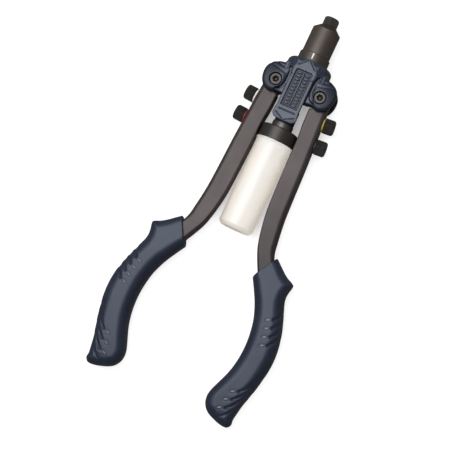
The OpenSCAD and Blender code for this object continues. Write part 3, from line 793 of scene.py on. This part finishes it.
def teeth_field(g):
    """Involute teeth of the arm head, thinned so that they never touch the rack."""
    pitch_radius, pitch_angle = 9.0, 24
    module = pitch_radius * math.radians(pitch_angle) / math.pi
    pressure = math.radians(25)
    thinning, tip_gap, root = 0.30, 0.08, 6.5
    base = pitch_radius * math.cos(pressure)
    tip = pitch_radius + 0.8 * module - tip_gap

    def involute(angle):
        return math.tan(angle) - angle

    def half_angle(r):
        flank = involute(math.acos(base / r)) if r > base else 0
        return ((math.pi * module / 2 - thinning) / (2 * pitch_radius)
                + involute(pressure) - flank)

    flank = [(root, half_angle(base))]
    for i in range(6):
        r = base + (tip - base) * i / 5
        flank.append((r, half_angle(r)))
    teeth = 1e3
    for k in range(-1, 4):
        middle = math.radians(pitch_angle * k)
        tooth = ([(r, middle - half) for r, half in flank]
                 + [(r, middle + half) for r, half in flank[::-1]])
        outline = [(PIVOT_X - r * math.cos(a), r * math.sin(a)) for r, a in tooth]
        teeth = np.minimum(teeth, poly(g, outline))
    return np.maximum(teeth, g.abs_z - 6.6)


def arms():
    g = Grid((7.4, -249, -8.2), (68, 12, 8.2), 0.35)
    pivot = pivot_distance(g)
    round_head = np.minimum(pivot - 7.7, np.maximum(pivot - ARM_HEAD, PIVOT_X + 1 - g.x))
    shoulder = poly(g, [(PIVOT_X + dx, y) for dx, y in (
        (ARM_HEAD, -14.5), (ARM_HEAD, -2), (-2, -6.5), (-3.4, -8.8), (-4.4, -11.0),
        (-4.7, -14.5))])
    outline = smooth_min(poly(g, band(BAR)), smooth_min(round_head, shoulder, 1.2), 0.6)
    field = pad(outline, g.abs_z - BAR_HALF, edge_radius(g))
    tang = pad(poly(g, band(TANG)), g.abs_z - TANG_HALF, TANG_RIM)
    field = np.minimum(field, tang)
    field = np.minimum(field, teeth_field(g))
    # pivot hole and the wider recess at each end of it
    field = np.maximum(field, -(pivot - 4.5))
    field = smooth_max(field, -np.maximum(pivot - 7.25, 6.15 - g.abs_z), 0.2)
    for x, y, angle in SPARE_SEATS:
        ca, sa = math.cos(math.radians(angle)), math.sin(math.radians(angle))
        outward = (g.x - x) * ca + (g.y - y) * sa
        radius = np.sqrt((-(g.x - x) * sa + (g.y - y) * ca) ** 2 + g.z ** 2)
        field = smooth_max(field, -np.maximum(radius - 6.9, -outward), 0.3)
        field = np.maximum(field, -np.maximum(radius - 4.05, -8.6 - outward))
    surface = to_surface(g, field)
    for side in ("right", "left"):
        add_mesh(f"{side}_arm_bar", *surface, ARM, f"{side}_arm", "arm_paint",
                 [f"{side}_arm"], mirrored=side == "left", thin=0.5)


# ---------------------------------------------------------------- grips
# Outer and inner side of the right grip, each in order round the outline: x, y
GRIP_OUTER = [
    (41.7, -128.6), (47.4, -133.3), (52, -137), (56.2, -139.7), (60.2, -141.5),
    (61.8, -143.6), (60.6, -149.8), (60.4, -154.2), (61.4, -158.8), (63.5, -164.1),
    (65.6, -169.2), (67.6, -174.8), (69.4, -180.2), (70.8, -186.2), (71.8, -192.3),
    (72.5, -198.8), (72.6, -206), (72.1, -212.5), (71.2, -218.8), (69.6, -227.3),
    (68.1, -233.4), (66.4, -239.8), (64.7, -246.5), (63.4, -253.3), (62.8, -258),
    (63.2, -262), (61.2, -265.1), (58, -265.7), (53.1, -264.9), (48.5, -263.4),
    (44.2, -261.6), (40.8, -259.2), (38.4, -256), (36.9, -252.1), (36.5, -248)]
GRIP_INNER = [
    (36.5, -248), (37.6, -242.6), (41.3, -232.9), (43.5, -227), (44.9, -222.2),
    (46.1, -216.3), (46.9, -210), (47.2, -204.1), (47.1, -198.2), (46.6, -192.3),
    (45.7, -186.6), (44.5, -180.9), (42.7, -175.5), (40.7, -170.5), (38.3, -165.4),
    (35.6, -160.5), (32.7, -155.4), (29.7, -150.4)]
# y, half thickness of the grip
GRIP_HALF = np.array([
    (-266.5, 7.6), (-261, 10.0), (-254, 11.0), (-242, 11.3), (-225, 11.5), (-205, 11.6),
    (-185, 11.6), (-165, 11.2), (-148, 10.4), (-136, 9.4), (-126, 8.8)])
# y, rounding of the grip's edges
GRIP_RIM = np.array([(-266, 6.8), (-240, 8.8), (-165, 9.3), (-140, 7.2), (-128, 6.2)])
SOCKET_GAP = 0.12           # room round the bar and the tang


def flutes_field(g):
    """Beads, each with a flute sweeping out to the edge of the grip."""
    depth_map = 0.0
    for flute in FLUTES:
        x, y, run, rise = flute
        beaded = flute in BEADS
        curve = catmull([(x + 2.4, y + 0.8), (x + 0.36 * run, y + 0.13 * rise),
                         (x + 0.70 * run, y + 0.46 * rise), (x + run, y + rise),
                         (x + 1.2 * run, y + 1.5 * rise)], 5)
        distance, t = path(g, curve)
        depth = 1.05 * np.clip(t * 9, 0, 1) * (1 - 0.30 * t)
        furrow = groove(distance, depth, width=0.90 + 0.9 * t) * (1 if beaded else 0.5)
        depth_map = np.maximum(depth_map, furrow)
        if beaded:
            # an ellipsoid of 1.95 by 1.05, 1.2 high, with a shallow ring round it
            u = ((g.x - x) * BEAD_COS + (g.y - y) * BEAD_SIN) / 1.95
            v = (-(g.x - x) * BEAD_SIN + (g.y - y) * BEAD_COS) / 1.05
            r = np.sqrt(u * u + v * v)
            ring = np.maximum(depth_map, 0.15 * np.exp(-((r - 1.25) / 0.3) ** 2))
            bead = -1.2 * np.sqrt(np.clip(1 - r ** 2, 0, 1))
            depth_map = np.where(r > 1.0, ring, bead).astype(F)
    return depth_map


def grips():
    g = Grid((28.2, -267.2, -12.8), (74, -126.8, 12.8), 0.40)
    sides = np.concatenate([catmull(GRIP_OUTER, 4), catmull(GRIP_INNER, 4)[1:]])
    outline = poly(g, np.concatenate([sides, [(31.2, -147.2)]]))
    # rounded as if it ran on past its mouth, so the mouth keeps a crisp flat rim
    longer = poly(g, np.concatenate([sides, [(18, -128)], [(30, -112)]]))
    half = np.interp(g.y, *GRIP_HALF.T).astype(F)
    rim = np.interp(g.y, *GRIP_RIM.T).astype(F)
    field = smooth_max(pad(longer, g.abs_z - half, rim), outline, 0.8)
    field = field + flutes_field(g) * np.clip((g.abs_z - 1.0) / 3.0, 0, 1)
    bar, tang = (pad(poly(g, band(line, SOCKET_GAP)), g.abs_z - (thick + SOCKET_GAP), edge)
                 for line, thick, edge in ((BAR, BAR_HALF, BAR_RIM),
                                           (TANG, TANG_HALF, TANG_RIM)))
    field = smooth_max(field, -np.minimum(bar, tang), 0.25)
    surface = to_surface(g, field)
    for side in ("right", "left"):
        add_mesh(f"{side}_grip_sleeve", *surface, GRIP, f"{side}_arm", "grip_plastic",
                 [f"{side}_grip"], mirrored=side == "left", thin=0.6)


# ---------------------------------------------------------------- index mark
def index_mark():
    """Pale painted mark on the front of the lock ring, wider towards the nose."""
    m = Shader("mark_paint")
    m.set(Base_Color=m.mix(m.noise(2500), (0.62, 0.58, 0.50), (0.85, 0.82, 0.76)),
          Roughness=0.5)
    across, along = 6, 8
    start_y, length, width, flare, width_radius = 26.2, 5.0, 0.9, 0.5, 12.75
    pts, faces = [], []
    for radius in (12.60, 12.80):
        for i in range(across + 1):
            for j in range(along + 1):
                angle = (i / across - 0.5) * (width + flare * j / along) / width_radius
                pts.append((radius * math.sin(angle), start_y + length * j / along,
                            radius * math.cos(angle)))

    def index(layer, i, j):
        return (layer * (across + 1) + i) * (along + 1) + j

    def wall(p, q):
        faces.append([index(0, *p), index(0, *q), index(1, *q), index(1, *p)])

    for i in range(across):
        for j in range(along):
            cell = ((i, j), (i + 1, j), (i + 1, j + 1), (i, j + 1))
            faces.append([index(1, *cell[k]) for k in (0, 1, 2, 3)])
            faces.append([index(0, *cell[k]) for k in (0, 3, 2, 1)])
    for i in range(across):
        wall((i, 0), (i + 1, 0))
        wall((i + 1, along), (i, along))
    for j in range(along):
        wall((0, j + 1), (0, j))
        wall((across, j), (across, j + 1))
    add_mesh("index_mark", pts, faces, m.material, "nose", "ring_white")


# ---------------------------------------------------------------- floor, light, camera
def floor_paper():
    """Paper that looks bright and lights the tool's sides, but is dim in reflections."""
    m = Shader("floor_paper")
    # painted shade: greyer only where the tool leaves narrow slots above it
    openness = m.new("ShaderNodeAmbientOcclusion", samples=8)
    openness.inputs["Distance"].default_value = 0.03
    m.set(Base_Color=m.mix(m.noise(30, detail=2), (0.22, 0.22, 0.22), (0.24, 0.24, 0.24)),
          Roughness=0.95, Specular_IOR_Level=0.0, Emission_Strength=1.0,
          Emission_Color=m.ramp(openness.outputs["AO"], 0.10, 0.42,
                                first=(0.30, 0.29, 0.29), last=(0.90, 0.90, 0.90)))
    dim = m.new("ShaderNodeBsdfDiffuse")
    m.feed(dim.inputs["Color"], (0.20, 0.185, 0.175))
    glow = m.new("ShaderNodeEmission")
    m.feed(glow.inputs["Color"], (1.0, 0.97, 0.95))
    glow.inputs["Strength"].default_value = 1.2
    ray = m.new("ShaderNodeLightPath").outputs
    lighting = m.math("MAXIMUM", ray["Is Diffuse Ray"], ray["Is Transmission Ray"])
    unseen = m.mix_shader(lighting, dim.outputs[0], glow.outputs[0])
    m.surface(m.mix_shader(ray["Is Camera Ray"], unseen, m.base.outputs[0]))
    return m.material


def floor():
    """The tool lies on the back of its head and on its grips, so the paper meets both."""
    material = floor_paper()
    reach = 6.0
    head_y, head_z = 0.020, -0.0167
    grip_y, grip_z = -0.215, -0.0119
    slope = (grip_z - head_z) / (grip_y - head_y)
    corners = [(x, y, head_z + (y - head_y) * slope) for x, y in (
        (-reach, -reach), (reach, -reach), (reach, reach), (-reach, reach))]
    mesh = bpy.data.meshes.new("floor")
    mesh.from_pydata(corners, [], [(0, 1, 2, 3)])
    ob = bpy.data.objects.new("floor", mesh)
    bpy.context.scene.collection.objects.link(ob)
    mesh.materials.append(material)


def lights():
    """One large lamp above and to the left, and a faint warm world."""
    lamp = bpy.data.lights.new("key", "AREA")
    lamp.shape = "RECTANGLE"
    lamp.size, lamp.size_y = 0.85, 1.15
    lamp.energy = 29.5
    ob = bpy.data.objects.new("key", lamp)
    bpy.context.scene.collection.objects.link(ob)
    place, target = Vector((-0.36, 0.08, 1.45)), Vector((0, -0.08, 0))
    ob.location = place
    ob.rotation_euler = (target - place).to_track_quat("-Z", "Y").to_euler()
    world = bpy.data.worlds.new("studio")
    bpy.context.scene.world = world
    world.use_nodes = True
    background = world.node_tree.nodes["Background"]
    background.inputs["Color"].default_value = (1.0, 0.97, 0.95, 1)
    background.inputs["Strength"].default_value = 0.06


def camera():
    lens = bpy.data.cameras.new("camera")
    lens.sensor_width = 36.0
    lens.lens = 123.05
    lens.clip_start, lens.clip_end = 0.05, 20
    ob = bpy.data.objects.new("camera", lens)
    bpy.context.scene.collection.objects.link(ob)
    right = (0.899656, 0.423943, -0.104357)
    up = (-0.408599, 0.901775, 0.140888)
    back = (0.153835, -0.084110, 0.984510)
    pose = Matrix((right, up, back)).transposed().to_4x4()
    pose.translation = (0.179440, -0.224027, 1.200260)
    ob.matrix_world = pose
    bpy.context.scene.camera = ob


head()
label_bars()
arms()
grips()
index_mark()
floor()
lights()
camera()
bpy.context.scene.view_settings.view_transform = "Standard"
